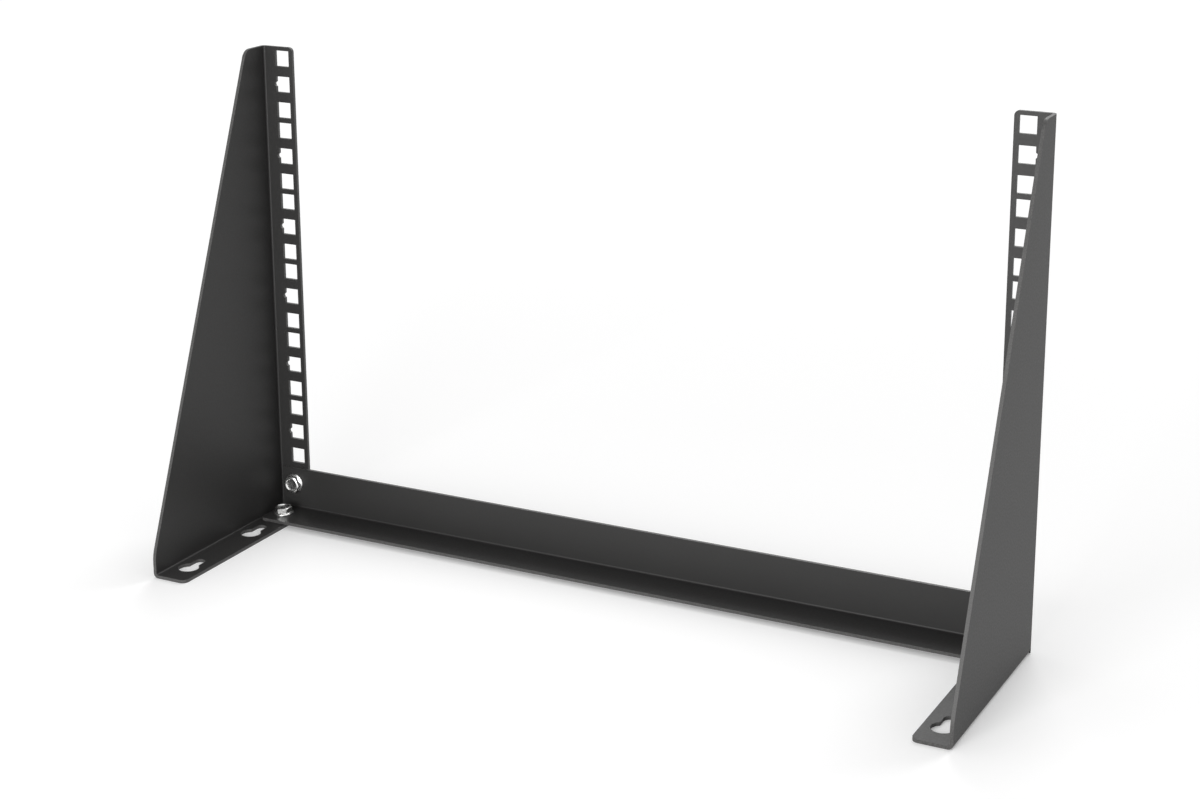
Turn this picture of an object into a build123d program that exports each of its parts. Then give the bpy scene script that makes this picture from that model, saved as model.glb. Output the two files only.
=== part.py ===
from build123d import *
import math
import os

# A six-unit wall mount rack: two folded sheet steel side brackets, mirror images of each
# other, joined at the back of the foot by a folded angle bar and four flange bolts.
# Millimetres. X runs across the rack, +Y points away from the wall plate side to the
# rail face, +Z is up. The origin is on the floor, at the middle of the base.

# Rack standard
RACK_UNITS = 6
HOLES_PER_UNIT = 3
FIRST_HOLE = 6.35                      # unit's edge to its nearest hole centre
HOLE_STEP = 15.875                     # from hole to hole within a unit
BAY_WIDTH = 450.0                      # clear width between the two rails
HOLE_INSET = 7.55                      # rail's free edge to the hole centres
SQUARE_HOLE = 9.7
NOTCH_RADIUS = 1.5                     # small round notch that marks each unit's middle hole
NOTCH_SHIFT = 0.3                      # how far the notch's centre lies inside the hole

# Folded side bracket
RAIL_WIDTH = 22.5                      # rail's free edge to the outer face of the side plate
BRACKET_DEPTH = 132.0                  # front of the foot to the outer face of the rail
SHEET = 2.0
BEND_INNER = 1.0
RAIL_BOTTOM = 31.5                     # floor to the underside of the lowest rack unit
TOP_MARGIN = 0.8                       # top of the highest rack unit to the rail's top edge
TOP_EDGE_LENGTH = 18.0                 # level top edge, rail face to the sloping edge
TOP_CORNER_RADIUS = 7.0
FRONT_EDGE_HEIGHT = 14.0
FRONT_CORNER_RADIUS = 24.0
RAIL_TOP_CORNER = 2.8
FOOT_FRONT_CORNER = 4.0
CORNER_SLIT = 0.5                      # gap between the two folds at the rear corner
CORNER_RELIEF = 0.9                    # radius of the round end of that slit
RAIL_FLOOR_GAP = 0.5                   # foot of the rail above the floor

# Keyholes in the foot
KEYHOLE_HEAD = 12.6
KEYHOLE_SLOT = 6.5
KEYHOLE_TRAVEL = 11.0                  # centre of the round part to the centre of the slot's end
KEYHOLE_FRONT = 18.2                   # front edge of the foot to the first round part
KEYHOLE_PITCH = 63.0
KEYHOLE_SIDE = 11.7                    # outer face of the bracket to the keyhole's centre line

# Cross bar
BAR_LEG = 28.0
BAR_SHEET = 2.0
BAR_END_GAP = 2.5                      # bar end to the inner face of the side plate
BAR_CORNER = 2.5
BAR_NOTCH_DEPTH = 5.0                  # bar end to the end of the fold
BAR_NOTCH_RISE = 7.0                   # bar's outer faces to the notch's edge on each leg
BAR_NOTCH_CORNER = 3.5

# Flange bolts
BOLT_SIDE = 13.0                       # outer face of the bracket to the bolt's axis
RAIL_BOLT_HEIGHT = 17.8                # foot's upper face to the rail bolt's axis
FOOT_BOLT_SETBACK = 15.5               # rail's inner face to the foot bolt's axis
FOOT_BOLT_TURN = 26.0                  # degrees that the foot bolts' hexagons are turned
BOLT_SHANK = 6.0
BOLT_CLEARANCE = 0.6                   # on the diameter, in the bar
TAPPED_CLEARANCE = 0.2                 # on the diameter, in the bracket
BOLT_TIP_SETBACK = 0.3                 # tip of the shank to the bracket's outer face
BOLT_FLANGE = 12.8
BOLT_FLANGE_RIM = 1.0
BOLT_FLANGE_CONE = 0.8
BOLT_HEX = 10.0
BOLT_HEAD = 4.6                        # bar's face to the top of the hexagon
BOLT_HEAD_CHAMFER = 0.5
BOLT_DISH = 7.4
BOLT_DISH_DEPTH = 0.7

FLANGE_EDGE = BAY_WIDTH / 2
HALF_WIDTH = FLANGE_EDGE + RAIL_WIDTH
UNIT_HEIGHT = 2 * FIRST_HOLE + (HOLES_PER_UNIT - 1) * HOLE_STEP
BEND_OUTER = BEND_INNER + SHEET
TOP_UNIT = RAIL_BOTTOM + RACK_UNITS * UNIT_HEIGHT
TOP = TOP_UNIT + TOP_MARGIN
BACK = BRACKET_DEPTH / 2               # outer face of the rail
RAIL_FACE = BACK - SHEET               # inner face of the rail
FRONT = BACK - BRACKET_DEPTH


def box_between(low, high):
    """A solid box from its lowest to its highest corner."""
    size = [h - l for l, h in zip(low, high)]
    centre = [(h + l) / 2 for l, h in zip(low, high)]
    return Pos(*centre) * Box(*size)


def side_plate():
    """The triangular plate between the two folds, with its rounded corners."""
    rear = BACK - BEND_OUTER
    top_front = RAIL_FACE - TOP_EDGE_LENGTH
    outline = Polyline(
        (rear, BEND_OUTER), (rear, TOP), (top_front, TOP), (FRONT, FRONT_EDGE_HEIGHT),
        (FRONT, BEND_OUTER), close=True,
    )
    face = make_face(Plane.YZ * outline)
    plate = Pos(HALF_WIDTH - SHEET, 0, 0) * extrude(face, SHEET, dir=(1, 0, 0))
    across = plate.edges().filter_by(Axis.X)
    top_corner = across.sort_by_distance((HALF_WIDTH, top_front, TOP))[0]
    plate = fillet(top_corner, TOP_CORNER_RADIUS)
    across = plate.edges().filter_by(Axis.X)
    front_corner = across.sort_by_distance((HALF_WIDTH, FRONT, FRONT_EDGE_HEIGHT))[0]
    return fillet(front_corner, FRONT_CORNER_RADIUS)


def fold(length):
    """A quarter ring of sheet along +Z, turning from a plate on +X to a flange on +Y."""
    ring = Circle(BEND_OUTER) - Circle(BEND_INNER)
    quarter = ring & Pos(BEND_OUTER, BEND_OUTER) * Rectangle(2 * BEND_OUTER, 2 * BEND_OUTER)
    return extrude(quarter, length)


def rail_flange():
    """The upright flange that carries the rack holes, with its fold."""
    low = RAIL_FLOOR_GAP
    flange = box_between((FLANGE_EDGE, RAIL_FACE, low), (HALF_WIDTH - BEND_OUTER, BACK, TOP))
    corner = flange.edges().filter_by(Axis.Y).sort_by_distance((FLANGE_EDGE, BACK, TOP))[0]
    flange = fillet(corner, RAIL_TOP_CORNER)
    bend = Pos(HALF_WIDTH - BEND_OUTER, BACK - BEND_OUTER, low) * fold(TOP - low)
    return flange + bend


def foot_flange():
    """The flange that lies on the wall or floor, with its fold."""
    rear = BACK - BEND_OUTER - CORNER_SLIT
    flange = box_between((FLANGE_EDGE, FRONT, 0), (HALF_WIDTH - BEND_OUTER, rear, SHEET))
    corner = flange.edges().filter_by(Axis.Z).sort_by_distance((FLANGE_EDGE, FRONT, 0))[0]
    flange = fillet(corner, FOOT_FRONT_CORNER)
    bend = Pos(HALF_WIDTH - BEND_OUTER, rear, BEND_OUTER) * Rot(90, 0, 0) * fold(rear - FRONT)
    return flange + mirror_down(bend)


def mirror_down(bend):
    """Turns the foot's fold so that it runs below the side plate."""
    return mirror(bend, about=Plane((0, 0, BEND_OUTER), z_dir=(0, 0, 1)))


def rack_hole_heights():
    """Heights of the hole centres, from the top unit down."""
    steps = [FIRST_HOLE + number * HOLE_STEP for number in range(HOLES_PER_UNIT)]
    return [TOP_UNIT - unit * UNIT_HEIGHT - step for unit in range(RACK_UNITS) for step in steps]


def rack_hole_cutter():
    """The square holes of one rail, with the notch on each unit's middle hole."""
    across = FLANGE_EDGE + HOLE_INSET
    square = extrude(Rectangle(SQUARE_HOLE, SQUARE_HOLE), 3 * SHEET)
    notch = Pos(SQUARE_HOLE / 2 - NOTCH_SHIFT, 0) * Cylinder(NOTCH_RADIUS, 3 * SHEET,
        align=(Align.CENTER, Align.CENTER, Align.MIN))
    cutters = []
    for index, height in enumerate(rack_hole_heights()):
        marked = index % HOLES_PER_UNIT == HOLES_PER_UNIT // 2
        tool = square + notch if marked else square
        cutters.append(Pos(across, BACK + SHEET, height) * Rot(90, 0, 0) * tool)
    return cutters


def keyhole_cutter():
    """The two keyholes of one foot: the round part to the front, the slot to the rear."""
    cutters = []
    for number in range(2):
        centre = FRONT + KEYHOLE_FRONT + number * KEYHOLE_PITCH
        head = Cylinder(KEYHOLE_HEAD / 2, 3 * SHEET)
        slot_end = Pos(0, KEYHOLE_TRAVEL, 0) * Cylinder(KEYHOLE_SLOT / 2, 3 * SHEET)
        slot = Pos(0, KEYHOLE_TRAVEL / 2, 0) * Box(KEYHOLE_SLOT, KEYHOLE_TRAVEL, 3 * SHEET)
        cutters.append(Pos(HALF_WIDTH - KEYHOLE_SIDE, centre, 0) * (head + slot_end + slot))
    return cutters


def bolt_places():
    """Where the two bolts of one side meet the bar: the rail bolt, then the foot bolt."""
    side = HALF_WIDTH - BOLT_SIDE
    rail = Pos(side, RAIL_FACE - BAR_SHEET, SHEET + RAIL_BOLT_HEIGHT) * Rot(90, 0, 0)
    foot = Pos(side, RAIL_FACE - FOOT_BOLT_SETBACK, SHEET + BAR_SHEET) * Rot(0, 0, -FOOT_BOLT_TURN)
    return {"rail_bolt": rail, "foot_bolt": foot}


def bolt_hole(place, clearance):
    """The hole for one bolt, through the bar and the bracket and no further."""
    return place * Cylinder((BOLT_SHANK + clearance) / 2, 2 * (BAR_SHEET + SHEET) + SHEET)


def right_bracket():
    """The right side bracket, folded from one sheet."""
    body = side_plate() + rail_flange() + foot_flange()
    slit_end = Pos(HALF_WIDTH, BACK - BEND_OUTER - CORNER_SLIT / 2, BEND_OUTER)
    body -= slit_end * Rot(0, 90, 0) * Cylinder(CORNER_RELIEF, 3 * SHEET)
    for cutter in rack_hole_cutter() + keyhole_cutter():
        body -= cutter
    for place in bolt_places().values():
        body -= bolt_hole(place, TAPPED_CLEARANCE)
    return body


def end_notch(half):
    """What is cut from the right end of the bar's fold, with round corners on both legs."""
    inner = half - BAR_NOTCH_DEPTH
    near = RAIL_FACE - BAR_NOTCH_RISE
    far = SHEET + BAR_NOTCH_RISE
    notch = box_between((inner, near, 0), (half + BAR_NOTCH_DEPTH, BACK, far))
    quarter = Rectangle(BAR_NOTCH_CORNER, BAR_NOTCH_CORNER, align=(Align.MAX, Align.MIN))
    quarter -= Pos(-BAR_NOTCH_CORNER, BAR_NOTCH_CORNER) * Circle(BAR_NOTCH_CORNER)
    upright_corner = Pos(half, BACK, far) * Rot(90, 0, 0) * extrude(quarter, 2 * SHEET + BAR_SHEET)
    level_corner = Pos(half, near, 0) * mirror(extrude(quarter, 2 * SHEET + BAR_SHEET), about=Plane.XZ)
    return notch + upright_corner + level_corner


def cross_bar():
    """The folded angle bar that ties the two brackets together."""
    half = HALF_WIDTH - SHEET - BAR_END_GAP
    outer = BEND_INNER + BAR_SHEET
    upright = box_between((-half, RAIL_FACE - BAR_SHEET, SHEET), (half, RAIL_FACE, SHEET + BAR_LEG))
    level = box_between((-half, RAIL_FACE - BAR_LEG, SHEET), (half, RAIL_FACE, SHEET + BAR_SHEET))
    bar = upright + level
    along = bar.edges().filter_by(Axis.X)
    outside = along.sort_by_distance((0, RAIL_FACE, SHEET))[0]
    bar = fillet(outside, outer)
    along = bar.edges().filter_by(Axis.X)
    inside = along.sort_by_distance((0, RAIL_FACE - BAR_SHEET, SHEET + BAR_SHEET))[0]
    bar = fillet(inside, BEND_INNER)
    tips = bar.edges().filter_by(Axis.Y).group_by(Axis.Z)[-1]
    bar = fillet(tips, BAR_CORNER)
    toes = bar.edges().filter_by(Axis.Z).group_by(Axis.Y)[0]
    bar = fillet(toes, BAR_CORNER)
    notch = end_notch(half)
    bar -= notch
    bar -= mirror(notch, about=Plane.YZ)
    for place in bolt_places().values():
        hole = bolt_hole(place, BOLT_CLEARANCE)
        bar -= hole
        bar -= mirror(hole, about=Plane.YZ)
    return bar


def flange_bolt():
    """A hexagon flange bolt, seated at z = 0 with its shank pointing down."""
    reach = BAR_SHEET + SHEET - BOLT_TIP_SETBACK
    rim = Cylinder(BOLT_FLANGE / 2, BOLT_FLANGE_RIM, align=(Align.CENTER, Align.CENTER, Align.MIN))
    cone = Pos(0, 0, BOLT_FLANGE_RIM) * Cone(BOLT_FLANGE / 2, BOLT_HEX / 2, BOLT_FLANGE_CONE,
        align=(Align.CENTER, Align.CENTER, Align.MIN))
    hexagon = extrude(RegularPolygon(BOLT_HEX / 2, 6, major_radius=False), BOLT_HEAD)
    crown_radius = BOLT_HEX / math.sqrt(3)
    blank = Cylinder(crown_radius, BOLT_HEAD, align=(Align.CENTER, Align.CENTER, Align.MIN))
    blank = chamfer(blank.edges().group_by(Axis.Z)[-1], BOLT_HEAD_CHAMFER)
    dish = Pos(0, 0, BOLT_HEAD) * Cylinder(BOLT_DISH / 2, 2 * BOLT_DISH_DEPTH)
    shank = Pos(0, 0, -reach) * Cylinder(BOLT_SHANK / 2, reach + BOLT_FLANGE_RIM,
        align=(Align.CENTER, Align.CENTER, Align.MIN))
    return (hexagon & blank) + rim + cone + shank - dish


def build():
    """Every piece of the rack, by name."""
    bracket = right_bracket()
    pieces = {
        "right_bracket": bracket,
        "left_bracket": mirror(bracket, about=Plane.YZ),
        "cross_bar": cross_bar(),
    }
    bolt = flange_bolt()
    for name, place in bolt_places().items():
        seated = place * bolt
        pieces["right_" + name] = seated
        pieces["left_" + name] = mirror(seated, about=Plane.YZ)
    return pieces


os.makedirs("parts", exist_ok=True)
for name, solid in build().items():
    solid.label = name
    export_step(solid, "parts/" + name + ".step")
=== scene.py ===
"""Powder coat, flange bolts, studio floor, lights and camera for the wall mount rack.

Lengths are in metres, in the rack's own frame: +X across the rack, +Y from the front of the feet to the
rails, +Z up, with the origin on the floor under the middle of the rack.
"""
import math

import bmesh
import bpy
from bpy.props import FloatProperty, FloatVectorProperty, IntProperty, PointerProperty
from mathutils import Matrix, Vector
from mathutils.bvhtree import BVHTree


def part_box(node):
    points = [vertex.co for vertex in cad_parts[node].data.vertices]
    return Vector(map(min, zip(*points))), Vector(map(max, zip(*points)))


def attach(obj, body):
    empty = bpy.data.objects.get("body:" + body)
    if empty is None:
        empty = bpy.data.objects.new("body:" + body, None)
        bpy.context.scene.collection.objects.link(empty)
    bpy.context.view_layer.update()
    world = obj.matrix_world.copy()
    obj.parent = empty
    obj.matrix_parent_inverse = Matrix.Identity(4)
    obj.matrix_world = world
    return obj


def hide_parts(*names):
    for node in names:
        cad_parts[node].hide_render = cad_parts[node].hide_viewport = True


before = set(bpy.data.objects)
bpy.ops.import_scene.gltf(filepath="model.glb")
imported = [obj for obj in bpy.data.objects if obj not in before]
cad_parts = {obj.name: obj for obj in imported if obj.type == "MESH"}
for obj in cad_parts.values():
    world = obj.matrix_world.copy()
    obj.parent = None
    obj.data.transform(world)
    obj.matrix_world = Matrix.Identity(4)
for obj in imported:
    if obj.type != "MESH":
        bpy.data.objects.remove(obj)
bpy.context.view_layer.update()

bl_info = {
    "name": "Wall Mount Rack",
    "version": (1, 0, 0),
    "blender": (4, 5, 0),
    "location": "3D View > Sidebar > Rack",
    "description": "Finishes the folded brackets, the angle bar and the flange bolts, and sets the stage",
    "category": "Object",
}

FOLDED_SHEETS = ("left_bracket", "right_bracket", "cross_bar")
RAIL_BOLTS = ("left_rail_bolt", "right_rail_bolt")
FOOT_BOLTS = ("left_foot_bolt", "right_foot_bolt")

# Sheets
SHEET = 0.002                          # thickness of the folded steel
CUT_DEPTH = 1.3 * SHEET                # metal deeper than this lies behind a cut edge, not a sheet face
WELD = 1e-6                            # points closer than this are one point
FLAT_ANGLE = math.radians(0.5)         # faces that turn less than this are one face
SHARP_ANGLE = math.radians(35)         # edges that turn more than this are sharp, as cut edges are
FLAT_WEIGHT = 90                       # pull of the large flat faces on the shading beside them

# Bolts
RING_POINTS = 72                       # points round each ring, a multiple of six
THREAD_LEVELS = 34                     # rings down the length of the thread
THREAD_DEPTH = 0.00055                 # crest to root
THREAD_START = 0.0001                  # seat to the first ring of the thread
THREAD_END = 0.0002                    # last ring of the thread to the tip
GROOVE_SLOPE = 1.25                    # steepness of the groove's flanks, of which 1 is a plain V
CREST_FLAT = 0.12                      # share taken off the groove's depth, which leaves a flat crest
RUN_OUT = 0.5                          # turns over which the thread fades towards the tip
TIP_EASE = 0.0002                      # how much narrower the faded thread is at the tip
TIP_CHAMFER = 0.0004                   # outer radius of the thread to the tip's edge
TIP_MIDDLE = 0.0012                    # outer radius of the thread to the tip's inner ring
RING_EASE = 0.0001                     # thread, or hexagon's corners, to the ring just outside them
EDGE_ROUND = 0.0002                    # rounding of the flange's lower edge
RIM_ROUND = 0.0003                     # rounding of the flange's upper edge
RIM_BEND = 0.3                         # share of that rounding where its middle ring lies
CONE_RISE = 0.0001                     # flange's rim to the foot of its sloping face
CONE_FALL = 0.53                       # slope of the flange's upper face
CROWN_START = 0.95                     # share of half the spanner size where the head's crown begins
CROWN_FALL = math.tan(math.radians(30))  # slope of the crown towards the head's corners
BLUNT = 0.00012                        # rounding of the hexagon's corners and the head's upper edges
FOOT_LOW, FOOT_HIGH = 0.00003, 0.00015  # sloping face to the two rings at the hexagon's foot
LAND_RISE = 0.00003                    # how far the land round the dish stands above the crown
DISH_LIP = 0.00006                     # how far the dish's edge lies below the crown's top
DISH_WALL = ((0.00035, 0.8), (0.0008, 1.0))   # distance inside the dish's edge, share of its depth
DISH_FLOOR = ((0.25, 1.05), (0.05, 1.07))     # share of the dish's width, share of its depth

# Finishes
NOISE_LOW, NOISE_HIGH = 0.3, 0.7       # range in which nearly all of a noise's values lie
PATCH_CHANGE = 0.1                     # how far the coat's patches of tone leave its colour
EDGE_CHANGE = 0.3                      # how far the specks of a cut edge leave its colour
CLOUD_CHANGE = 0.07                    # how far the zinc's clouds leave its colour
SMOOTHER, ROUGHER = 0.04, 0.05         # how far the coat's grain leaves its mean roughness
EDGE_ROUGHNESS = 0.1                   # how far a cut edge's roughness leaves that of the coat
EDGE_STEPS = 0.7                       # size of a cut edge's fine steps, as a share of the grain
EDGE_RELIEF = 3                        # their depth, as a multiple of the grain's

# Stage
WHITE = (1, 1, 1, 1)
# Kinds of ray that see the floor's glow and the plain white surroundings
SEEN_RAYS = ("Is Camera Ray", "Is Glossy Ray", "Is Transmission Ray")
FRAME_WIDTH = 36.0                     # millimetres, to which the focal length belongs


class RackCoat(bpy.types.PropertyGroup):
    """The satin powder coat and the softened sheet edges."""

    colour: FloatVectorProperty(
        name="Coat colour", description="Colour of the powder coat", subtype="COLOR",
        size=3, min=0, max=1, default=(0.0215, 0.0210, 0.0206))
    # Painted highlight: the cut edges are coloured lighter than the coat, in place of the light that their
    # rounding catches
    edge_highlight_colour: FloatVectorProperty(
        name="Edge highlight colour", description="Lighter colour of the cut edges, a painted highlight", subtype="COLOR",
        size=3, min=0, max=1, default=(0.065, 0.064, 0.063))
    roughness: FloatProperty(
        name="Roughness", description="Mean roughness of the coat", subtype="FACTOR",
        min=0, max=1, default=0.5)
    gloss: FloatProperty(
        name="Gloss", description="Strength of the coat's mirror reflection", subtype="FACTOR",
        min=0, max=1, default=0.32)
    patch_size: FloatProperty(
        name="Patch size", description="Size of the coat's faint patches of tone", unit="LENGTH",
        default=0.06)
    grain_size: FloatProperty(
        name="Grain size", description="Size of the coat's fine orange peel", unit="LENGTH",
        default=0.0011)
    grain_depth: FloatProperty(
        name="Grain depth", description="Depth of the orange peel", unit="LENGTH",
        default=0.000022)
    edge_radius: FloatProperty(
        name="Edge radius", description="Radius of the coated sheet edges", unit="LENGTH",
        default=0.00028)
    edge_segments: IntProperty(
        name="Edge segments", description="Facets across a softened edge", default=2, min=1)


class RackBolt(bpy.types.PropertyGroup):
    """A hexagon flange bolt, measured from the face that it is tightened on."""

    flange: FloatProperty(
        name="Flange diameter", description="Width of the round flange", unit="LENGTH", default=0.0128)
    rim: FloatProperty(
        name="Rim height", description="Height of the flange's edge", unit="LENGTH", default=0.001)
    hexagon: FloatProperty(
        name="Width across flats", description="Spanner size of the head", unit="LENGTH", default=0.010)
    height: FloatProperty(
        name="Head height", description="Seat to the top of the head", unit="LENGTH", default=0.0046)
    dish: FloatProperty(
        name="Dish diameter", description="Width of the dished top", unit="LENGTH", default=0.0074)
    dish_depth: FloatProperty(
        name="Dish depth", description="Depth of the dished top", unit="LENGTH", default=0.0007)
    shank: FloatProperty(
        name="Thread diameter", description="Outer diameter of the thread", unit="LENGTH", default=0.006)
    reach: FloatProperty(
        name="Reach", description="Seat to the tip of the thread", unit="LENGTH", default=0.0037)
    pitch: FloatProperty(
        name="Pitch", description="Pitch of the thread", unit="LENGTH", default=0.001)
    foot_turn: FloatProperty(
        name="Foot bolt turn", description="How far the foot bolts' heads are turned from the front",
        subtype="ANGLE", default=math.radians(26))
    plating: FloatVectorProperty(
        name="Plating colour", description="Colour of the bright zinc", subtype="COLOR",
        size=3, min=0, max=1, default=(0.86, 0.86, 0.85))
    smoothest: FloatProperty(
        name="Smoothest", description="Least roughness of the plating", subtype="FACTOR",
        min=0, max=1, default=0.18)
    roughest: FloatProperty(
        name="Roughest", description="Greatest roughness of the plating", subtype="FACTOR",
        min=0, max=1, default=0.30)
    cloud_size: FloatProperty(
        name="Cloud size", description="Size of the plating's faint clouds", unit="LENGTH", default=0.004)
    mark_size: FloatProperty(
        name="Mark size", description="Size of the plating's fine marks", unit="LENGTH", default=0.0007)
    mark_depth: FloatProperty(
        name="Mark depth", description="Depth of the fine marks", unit="LENGTH", default=0.00001)


class RackStage(bpy.types.PropertyGroup):
    """The floor, the light and the camera."""

    floor_size: FloatProperty(
        name="Floor size", description="Half the width of the floor", unit="LENGTH", default=6.0)
    floor_colour: FloatVectorProperty(
        name="Floor colour", description="Colour of the studio floor", subtype="COLOR",
        size=3, min=0, max=1, default=(0.88, 0.88, 0.88))
    near_glow: FloatProperty(
        name="Near glow",
        description="White that only the camera and reflections see on the floor by the rack",
        default=0.16)
    far_glow: FloatProperty(
        name="Far glow", description="The same white where the soft box no longer reaches the floor",
        default=0.27)
    near_edge: FloatProperty(
        name="Near edge", description="How far from the rack's middle the near glow reaches",
        unit="LENGTH", default=0.35)
    far_edge: FloatProperty(
        name="Far edge", description="Where the far glow begins", unit="LENGTH", default=1.2)
    ambient: FloatProperty(
        name="Surrounding light", description="Strength of the light from all around", default=0.5)
    front_power: FloatProperty(
        name="Front power", description="Power of the low soft box in front", unit="POWER", default=14.5)
    front_place: FloatVectorProperty(
        name="Front place", description="Where the soft box stands", subtype="TRANSLATION",
        unit="LENGTH", size=3, default=(0.0, -1.3, 0.35))
    front_aim: FloatVectorProperty(
        name="Front aim", description="Point that the soft box faces", subtype="TRANSLATION",
        unit="LENGTH", size=3, default=(0.0, 0.03, 0.12))
    front_size: FloatProperty(
        name="Front size", description="Width of the square soft box", unit="LENGTH", default=0.6)
    back_strength: FloatProperty(
        name="Back strength", description="Strength of the soft light from behind", default=1.8)
    back_rise: FloatProperty(
        name="Back rise", description="How high the back light stands above the horizon",
        subtype="ANGLE", default=math.radians(38))
    back_spread: FloatProperty(
        name="Back spread", description="Width of the back light in the sky", subtype="ANGLE",
        default=math.radians(50))
    view_from: FloatVectorProperty(
        name="Camera place", description="Where the camera stands", subtype="TRANSLATION",
        unit="LENGTH", size=3, default=(0.57018, -1.06640, 0.52325))
    view_turn: FloatProperty(
        name="Camera turn", description="How far the camera is turned to the left of straight back",
        subtype="ANGLE", default=math.radians(27.418))
    view_dip: FloatProperty(
        name="Camera dip", description="How far the camera looks down", subtype="ANGLE",
        default=math.radians(15.121))
    view_roll: FloatProperty(
        name="Camera roll", description="How far the camera is turned about its view",
        subtype="ANGLE", default=math.radians(-0.262))
    view_shift: FloatProperty(
        name="Camera shift", description="Upward shift of the view, as a share of its width",
        default=-0.1)
    focal: FloatProperty(
        name="Focal length", description="Focal length in millimetres", default=68.68)


def rack_settings():
    """The scene's own sizes and colours."""
    return bpy.context.scene.wall_rack


def new_material(name):
    """A node material with only its shader and its output."""
    material = bpy.data.materials.new(name)
    material.use_nodes = True
    nodes = material.node_tree.nodes
    nodes.clear()
    output = nodes.new("ShaderNodeOutputMaterial")
    shader = nodes.new("ShaderNodeBsdfPrincipled")
    material.node_tree.links.new(shader.outputs["BSDF"], output.inputs["Surface"])
    return material, shader


def noise(material, size, detail):
    """Noise on the piece's own coordinates, with features of about the given size."""
    nodes = material.node_tree.nodes
    where = nodes.new("ShaderNodeTexCoord")
    texture = nodes.new("ShaderNodeTexNoise")
    texture.inputs["Scale"].default_value = 1 / size
    texture.inputs["Detail"].default_value = detail
    material.node_tree.links.new(where.outputs["Object"], texture.inputs["Vector"])
    return texture.outputs["Fac"]


def spread(material, source, low, high):
    """Maps a noise value onto a range."""
    node = material.node_tree.nodes.new("ShaderNodeMapRange")
    node.inputs["From Min"].default_value = NOISE_LOW
    node.inputs["From Max"].default_value = NOISE_HIGH
    node.inputs["To Min"].default_value = low
    node.inputs["To Max"].default_value = high
    material.node_tree.links.new(source, node.inputs["Value"])
    return node.outputs["Result"]


def bump(material, shader, height, depth):
    """Raises the surface a little where the height value is high."""
    node = material.node_tree.nodes.new("ShaderNodeBump")
    node.inputs["Distance"].default_value = depth
    links = material.node_tree.links
    links.new(height, node.inputs["Height"])
    links.new(node.outputs["Normal"], shader.inputs["Normal"])


def two_tones(material, shader, source, colour, change):
    """Colours a surface between a darker and a lighter tone of one colour."""
    tint = material.node_tree.nodes.new("ShaderNodeMix")
    tint.data_type = "RGBA"
    tint.inputs["A"].default_value = (*[(1 - change) * part for part in colour], 1)
    tint.inputs["B"].default_value = (*[min(1.0, (1 + change) * part) for part in colour], 1)
    links = material.node_tree.links
    links.new(source, tint.inputs["Factor"])
    links.new(tint.outputs["Result"], shader.inputs["Base Color"])


def powder_coat():
    """Satin black powder coat: fine orange peel that also varies the gloss, and faint patches of tone."""
    coat = rack_settings().coat
    material, shader = new_material("satin_black_powder_coat")
    shader.inputs["Specular IOR Level"].default_value = coat.gloss
    grain = noise(material, coat.grain_size, detail=2)
    two_tones(material, shader, noise(material, coat.patch_size, detail=3), coat.colour, PATCH_CHANGE)
    rough = spread(material, grain, coat.roughness - SMOOTHER, coat.roughness + ROUGHER)
    material.node_tree.links.new(rough, shader.inputs["Roughness"])
    bump(material, shader, grain, coat.grain_depth)
    return material


def edge_painted_highlight():
    """The same coat on a cut edge, coloured lighter there as a painted highlight, over the fine steps of
    the cut.
    """
    coat = rack_settings().coat
    material, shader = new_material("cut_edge_painted_highlight")
    shader.inputs["Specular IOR Level"].default_value = coat.gloss
    steps = noise(material, EDGE_STEPS * coat.grain_size, detail=3)
    # painted highlight: the edge is tinted lighter than the coat, with specks of random tone
    two_tones(material, shader, spread(material, steps, 0.0, 1.0), coat.edge_highlight_colour, EDGE_CHANGE)
    rough = spread(material, steps, coat.roughness - EDGE_ROUGHNESS, coat.roughness + EDGE_ROUGHNESS)
    material.node_tree.links.new(rough, shader.inputs["Roughness"])
    bump(material, shader, steps, EDGE_RELIEF * coat.grain_depth)
    return material


def bright_zinc():
    """Bright zinc plating with faint cloudiness and fine marks."""
    bolt = rack_settings().bolt
    material, shader = new_material("bright_zinc_plate")
    shader.inputs["Metallic"].default_value = 1.0
    clouds = noise(material, bolt.cloud_size, detail=3)
    two_tones(material, shader, clouds, bolt.plating, CLOUD_CHANGE)
    rough = spread(material, clouds, bolt.smoothest, bolt.roughest)
    material.node_tree.links.new(rough, shader.inputs["Roughness"])
    bump(material, shader, noise(material, bolt.mark_size, detail=2), bolt.mark_depth)
    return material


def finished_piece(name, shape, materials, node):
    """Turns a bmesh into an object that stands for one node of the frame."""
    mesh = bpy.data.meshes.new(name)
    for material in materials:
        mesh.materials.append(material)
    shape.to_mesh(mesh)
    shape.free()
    piece = bpy.data.objects.new(name, mesh)
    bpy.context.scene.collection.objects.link(piece)
    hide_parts(node)
    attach(piece, "root")
    return piece


def weigh_normals(piece):
    """Keeps large flat faces flat to the light beside rounded edges."""
    for polygon in piece.data.polygons:
        polygon.use_smooth = True
    piece.data.set_sharp_from_angle(angle=SHARP_ANGLE)
    weights = piece.modifiers.new("even_light", "WEIGHTED_NORMAL")
    weights.weight = FLAT_WEIGHT
    weights.keep_sharp = True


def soften_edges(node, radius, segments):
    """A copy of a folded sheet with its cut edges rounded as a coat leaves them."""
    shape = bmesh.new()
    shape.from_mesh(bpy.data.objects[node].data)
    bmesh.ops.remove_doubles(shape, verts=shape.verts, dist=WELD)
    bmesh.ops.dissolve_limit(
        shape, angle_limit=FLAT_ANGLE, use_dissolve_boundaries=False,
        verts=shape.verts, edges=shape.edges, delimit=set())
    cut_edges = [edge for edge in shape.edges if edge.is_manifold and edge.calc_face_angle() > SHARP_ANGLE]
    bmesh.ops.bevel(
        shape, geom=cut_edges, offset=radius, offset_type="OFFSET", segments=segments,
        affect="EDGES", profile=0.5, material=-1, clamp_overlap=True)
    return shape


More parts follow.
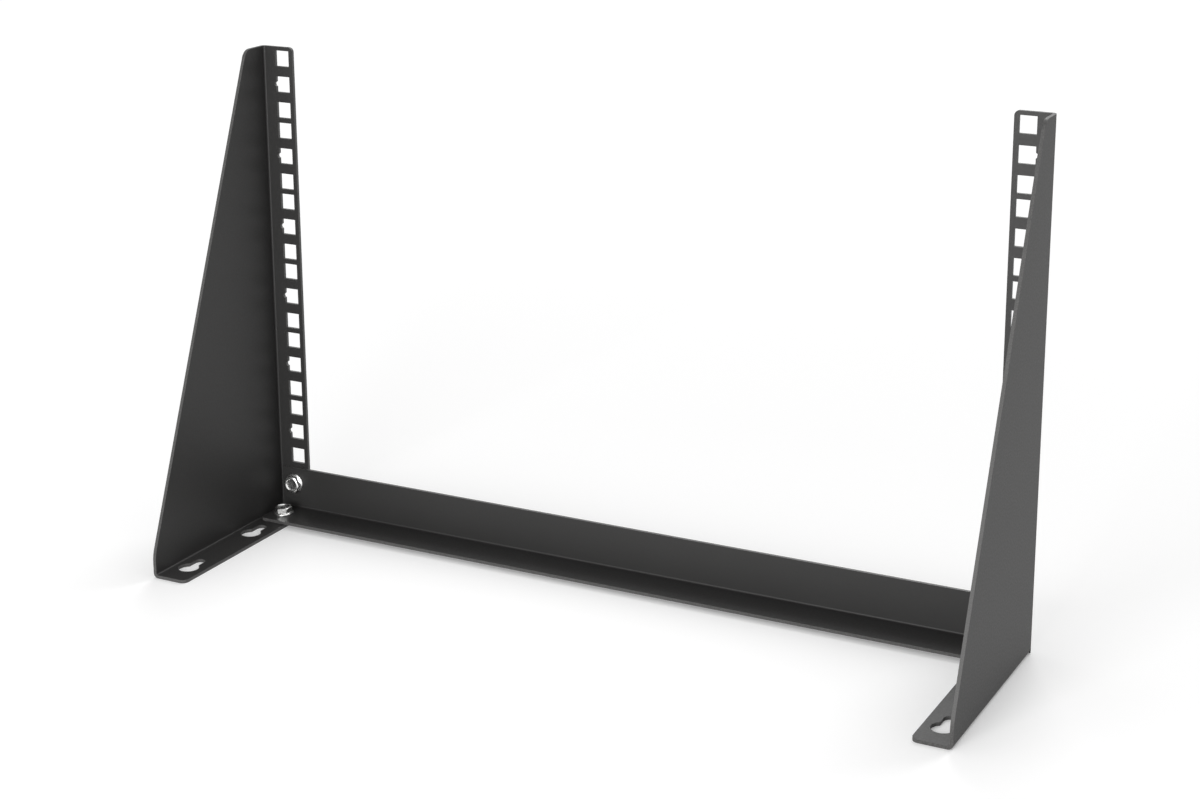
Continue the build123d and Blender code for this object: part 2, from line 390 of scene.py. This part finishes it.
def mark_cut_edges(shape):
    """Gives the second material to the cut edges, behind which the metal is deeper than the sheet."""
    solid = BVHTree.FromBMesh(shape)
    for face in shape.faces:
        start = face.calc_center_median() - face.normal * WELD
        depth = solid.ray_cast(start, -face.normal)[3]
        if depth is not None and depth > CUT_DEPTH:
            face.material_index = 1


def ring(shape, radius_at, height_at):
    """One closed ring of points round a bolt's axis."""
    made = bmesh.ops.create_circle(shape, cap_ends=False, segments=RING_POINTS, radius=1.0)
    for vert in made["verts"]:
        angle = math.atan2(vert.co.y, vert.co.x)
        radius = radius_at(angle)
        vert.co = Vector((radius * math.cos(angle), radius * math.sin(angle), height_at(angle, radius)))
    return list({edge for vert in made["verts"] for edge in vert.link_edges})


def round_ring(shape, radius, height):
    """A level, circular ring."""
    return ring(shape, lambda angle: radius, lambda angle, r: height)


def hexagon_ring(shape, bolt, height_at):
    """A ring along the sides of the head, whose corners are blunted."""
    widest = bolt.hexagon / math.sqrt(3) - BLUNT

    def radius_at(angle):
        from_flat = (angle % (math.pi / 3)) - math.pi / 6
        return min(bolt.hexagon / 2 / math.cos(from_flat), widest)

    return ring(shape, radius_at, lambda angle, r: height_at(r))


def thread_ring(shape, bolt, depth):
    """A level ring that cuts through the thread's helix, whose groove fades towards the tip."""
    cut = min(1.0, (bolt.reach - depth) / (RUN_OUT * bolt.pitch))
    outer = bolt.shank / 2 - TIP_EASE * (1 - cut)

    def radius_at(angle):
        turn = (depth / bolt.pitch + angle / math.tau) % 1.0
        groove = GROOVE_SLOPE * abs(2 * turn - 1) - CREST_FLAT
        return outer - THREAD_DEPTH * max(0.0, min(1.0, groove)) * cut

    return ring(shape, radius_at, lambda angle, r: -depth)


def thread_rings(shape, bolt):
    """The tip and the cut thread, from the bottom up to the seat."""
    rings = [
        round_ring(shape, bolt.shank / 2 - TIP_MIDDLE, -bolt.reach),
        round_ring(shape, bolt.shank / 2 - TIP_CHAMFER, -bolt.reach),
    ]
    length = bolt.reach - THREAD_START - THREAD_END
    for level in range(THREAD_LEVELS, -1, -1):
        rings.append(thread_ring(shape, bolt, THREAD_START + length * level / THREAD_LEVELS))
    return rings


def flange_rings(shape, bolt):
    """The flange's seat and its rounded rim."""
    half = bolt.flange / 2
    bend = RIM_BEND * RIM_ROUND
    return [
        round_ring(shape, bolt.shank / 2 + RING_EASE, 0.0),
        round_ring(shape, half - EDGE_ROUND, 0.0),
        round_ring(shape, half, EDGE_ROUND),
        round_ring(shape, half, bolt.rim - RIM_ROUND),
        round_ring(shape, half - bend, bolt.rim - bend),
        round_ring(shape, half - RIM_ROUND, bolt.rim + CONE_RISE / 2),
    ]


def head_rings(shape, bolt):
    """The flange's sloping face, the hexagon and its crown."""
    beside_hexagon = bolt.hexagon / math.sqrt(3) + RING_EASE
    crown_start = CROWN_START * bolt.hexagon / 2

    def on_cone(radius):
        return bolt.rim + CONE_RISE + (bolt.flange / 2 - RIM_ROUND - radius) * CONE_FALL

    def on_crown(radius):
        return bolt.height - max(0.0, radius - crown_start) * CROWN_FALL

    return [
        round_ring(shape, beside_hexagon, on_cone(beside_hexagon)),
        hexagon_ring(shape, bolt, lambda r: on_cone(r) + FOOT_LOW),
        hexagon_ring(shape, bolt, lambda r: on_cone(r) + FOOT_HIGH),
        hexagon_ring(shape, bolt, lambda r: on_crown(r) - BLUNT),
        hexagon_ring(shape, bolt, on_crown),
        round_ring(shape, crown_start, bolt.height),
        round_ring(shape, crown_start - BLUNT, bolt.height + LAND_RISE),
    ]


def dish_rings(shape, bolt):
    """The dish in the top of the head, from its edge to its middle."""
    half = bolt.dish / 2
    rings = [
        round_ring(shape, half + BLUNT, bolt.height + LAND_RISE),
        round_ring(shape, half, bolt.height - DISH_LIP),
    ]
    for inset, share in DISH_WALL:
        rings.append(round_ring(shape, half - inset, bolt.height - share * bolt.dish_depth))
    for width, share in DISH_FLOOR:
        rings.append(round_ring(shape, width * bolt.dish, bolt.height - share * bolt.dish_depth))
    return rings


def bolt_shape(bolt):
    """A flange bolt with a crowned, dished head and a cut thread, seated at z = 0."""
    shape = bmesh.new()
    rings = thread_rings(shape, bolt) + flange_rings(shape, bolt)
    rings += head_rings(shape, bolt) + dish_rings(shape, bolt)
    for lower, upper in zip(rings, rings[1:]):
        bmesh.ops.bridge_loops(shape, edges=lower + upper)
    for end in (rings[0], rings[-1]):
        cap = bmesh.ops.contextual_create(shape, geom=end)["faces"]
        bmesh.ops.poke(shape, faces=cap)
    bmesh.ops.recalc_face_normals(shape, faces=shape.faces)
    return shape


def seat_of(node, outward):
    """Where a bolt's flange meets the bar, read from the frame's own node."""
    low, high = (Vector(corner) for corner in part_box(node))
    middle = (low + high) / 2
    reach = rack_settings().bolt.reach
    if outward == "front":
        return Vector((middle.x, high.y - reach, middle.z))
    return Vector((middle.x, middle.y, low.z + reach))


class RACK_OT_sheets(bpy.types.Operator):
    """Replace the folded sheets with copies that have softened, coated edges"""

    bl_idname = "rack.sheets"
    bl_label = "Folded sheets"

    def execute(self, context):
        coat = rack_settings().coat
        finishes = (powder_coat(), edge_painted_highlight())
        for node in FOLDED_SHEETS:
            shape = soften_edges(node, coat.edge_radius, coat.edge_segments)
            mark_cut_edges(shape)
            piece = finished_piece("coated_" + node, shape, finishes, node)
            weigh_normals(piece)
        return {"FINISHED"}


class RACK_OT_bolts(bpy.types.Operator):
    """Make the four flange bolts that hold the bar to the rails and the feet"""

    bl_idname = "rack.bolts"
    bl_label = "Flange bolts"

    def execute(self, context):
        zinc = bright_zinc()
        bolt = rack_settings().bolt
        to_front = Matrix.Rotation(math.radians(90), 4, "X")
        left_foot, right_foot = FOOT_BOLTS
        placed = [(node, "front", 0.0) for node in RAIL_BOLTS]
        placed += [(left_foot, "up", bolt.foot_turn), (right_foot, "up", -bolt.foot_turn)]
        for node, outward, turn in placed:
            shape = bolt_shape(bolt)
            lean = to_front if outward == "front" else Matrix.Identity(4)
            place = Matrix.Translation(seat_of(node, outward)) @ lean @ Matrix.Rotation(turn, 4, "Z")
            bmesh.ops.transform(shape, matrix=place, verts=shape.verts)
            piece = finished_piece("plated_" + node, shape, (zinc,), node)
            weigh_normals(piece)
        return {"FINISHED"}


def seen_directly(tree):
    """One where the camera, a reflection or a see-through part looks, and zero elsewhere."""
    path = tree.nodes.new("ShaderNodeLightPath")
    value = path.outputs[SEEN_RAYS[0]]
    for kind in SEEN_RAYS[1:]:
        either = tree.nodes.new("ShaderNodeMath")
        either.operation = "MAXIMUM"
        tree.links.new(value, either.inputs[0])
        tree.links.new(path.outputs[kind], either.inputs[1])
        value = either.outputs["Value"]
    return value


def floor_glow(tree, stage):
    """White for the floor, which rises as the soft box's light falls away from the rack."""
    where = tree.nodes.new("ShaderNodeTexCoord")
    away = tree.nodes.new("ShaderNodeVectorMath")
    away.operation = "LENGTH"
    tree.links.new(where.outputs["Object"], away.inputs[0])
    level = tree.nodes.new("ShaderNodeMapRange")
    level.inputs["From Min"].default_value = stage.near_edge
    level.inputs["From Max"].default_value = stage.far_edge
    level.inputs["To Min"].default_value = stage.near_glow
    level.inputs["To Max"].default_value = stage.far_glow
    tree.links.new(away.outputs["Value"], level.inputs["Value"])
    return level.outputs["Result"]


def floor_material(stage):
    """A matt pale floor that keeps the shadow and that the camera sees as white."""
    material, shader = new_material("studio_floor")
    shader.inputs["Base Color"].default_value = (*stage.floor_colour, 1)
    shader.inputs["Roughness"].default_value = 1.0
    shader.inputs["Specular IOR Level"].default_value = 0.0
    shader.inputs["Emission Color"].default_value = WHITE
    tree = material.node_tree
    scale = tree.nodes.new("ShaderNodeMath")
    scale.operation = "MULTIPLY"
    tree.links.new(seen_directly(tree), scale.inputs[0])
    tree.links.new(floor_glow(tree, stage), scale.inputs[1])
    tree.links.new(scale.outputs["Value"], shader.inputs["Emission Strength"])
    return material


def lay_floor(stage):
    """A wide level floor under the rack, which isn't part of it."""
    shape = bmesh.new()
    bmesh.ops.create_grid(shape, x_segments=1, y_segments=1, size=stage.floor_size)
    mesh = bpy.data.meshes.new("floor")
    shape.to_mesh(mesh)
    shape.free()
    floor = bpy.data.objects.new("floor", mesh)
    bpy.context.scene.collection.objects.link(floor)
    mesh.materials.append(floor_material(stage))


def white_surroundings(strength):
    """Even light from all around, seen by the camera and in gloss as plain white."""
    world = bpy.data.worlds.new("studio")
    bpy.context.scene.world = world
    world.use_nodes = True
    nodes = world.node_tree.nodes
    nodes.clear()
    links = world.node_tree.links
    output = nodes.new("ShaderNodeOutputWorld")
    seen = nodes.new("ShaderNodeBackground")
    seen.inputs["Color"].default_value = WHITE
    seen.inputs["Strength"].default_value = 1.0
    light = nodes.new("ShaderNodeBackground")
    light.inputs["Color"].default_value = WHITE
    light.inputs["Strength"].default_value = strength
    blend = nodes.new("ShaderNodeMixShader")
    links.new(seen_directly(world.node_tree), blend.inputs["Fac"])
    links.new(light.outputs["Background"], blend.inputs[1])
    links.new(seen.outputs["Background"], blend.inputs[2])
    links.new(blend.outputs["Shader"], output.inputs["Surface"])


def stand_lamp(name, kind, place, aim):
    """A lamp of the given kind at one point, facing another."""
    lamp = bpy.data.lights.new(name, kind)
    holder = bpy.data.objects.new(name, lamp)
    bpy.context.scene.collection.objects.link(holder)
    holder.location = place
    holder.rotation_euler = (aim - place).to_track_quat("-Z", "Y").to_euler()
    holder.visible_camera = False
    return lamp


def front_box(stage):
    """A low square soft box in front of the rack."""
    lamp = stand_lamp("front", "AREA", Vector(stage.front_place), Vector(stage.front_aim))
    lamp.shape = "SQUARE"
    lamp.size = stage.front_size
    lamp.energy = stage.front_power


def back_light(stage):
    """Soft light from above and behind the rack, of the same strength all over the floor."""
    source = Vector((0, math.cos(stage.back_rise), math.sin(stage.back_rise)))
    lamp = stand_lamp("back", "SUN", source, Vector((0, 0, 0)))
    lamp.angle = stage.back_spread
    lamp.energy = stage.back_strength


def stand_camera(stage):
    """The photograph's viewpoint: close to the rack, above it and to the right of its front."""
    turn, dip = stage.view_turn, stage.view_dip
    forward = Vector((-math.sin(turn) * math.cos(dip), math.cos(turn) * math.cos(dip), -math.sin(dip)))
    level_right = Vector((math.cos(turn), math.sin(turn), 0))
    right = Matrix.Rotation(-stage.view_roll, 3, forward) @ level_right
    up = right.cross(forward)
    camera = bpy.data.cameras.new("camera")
    camera.lens = stage.focal
    camera.sensor_width = FRAME_WIDTH
    camera.shift_y = stage.view_shift
    holder = bpy.data.objects.new("camera", camera)
    bpy.context.scene.collection.objects.link(holder)
    turned = Matrix((right, up, -forward)).transposed().to_4x4()
    holder.matrix_world = Matrix.Translation(stage.view_from) @ turned
    bpy.context.scene.camera = holder


class RACK_OT_stage(bpy.types.Operator):
    """Lay the pale floor, light it softly and stand the camera"""

    bl_idname = "rack.stage"
    bl_label = "Stage and camera"

    def execute(self, context):
        stage = rack_settings().stage
        lay_floor(stage)
        white_surroundings(stage.ambient)
        front_box(stage)
        back_light(stage)
        stand_camera(stage)
        context.scene.view_settings.view_transform = "Standard"
        return {"FINISHED"}


class RackSettings(bpy.types.PropertyGroup):
    """All sizes and colours of the rack."""

    coat: PointerProperty(type=RackCoat, name="Coat", description="Powder coat and edges")
    bolt: PointerProperty(type=RackBolt, name="Bolt", description="Flange bolts")
    stage: PointerProperty(type=RackStage, name="Stage", description="Floor, light and camera")


class RACK_PT_sidebar(bpy.types.Panel):
    """The rack's steps, in the order in which they are made"""

    bl_label = "Wall Mount Rack"
    bl_idname = "RACK_PT_sidebar"
    bl_space_type = "VIEW_3D"
    bl_region_type = "UI"
    bl_category = "Rack"

    def draw(self, context):
        for operator in OPERATORS:
            self.layout.operator(operator.bl_idname)


OPERATORS = (RACK_OT_sheets, RACK_OT_bolts, RACK_OT_stage)
CLASSES = (RackCoat, RackBolt, RackStage, RackSettings, *OPERATORS, RACK_PT_sidebar)


def register():
    for item in CLASSES:
        bpy.utils.register_class(item)
    bpy.types.Scene.wall_rack = PointerProperty(type=RackSettings)


def unregister():
    del bpy.types.Scene.wall_rack
    for item in reversed(CLASSES):
        bpy.utils.unregister_class(item)


def main():
    register()
    bpy.ops.rack.sheets()
    bpy.ops.rack.bolts()
    bpy.ops.rack.stage()


if __name__ == "__main__":
    main()
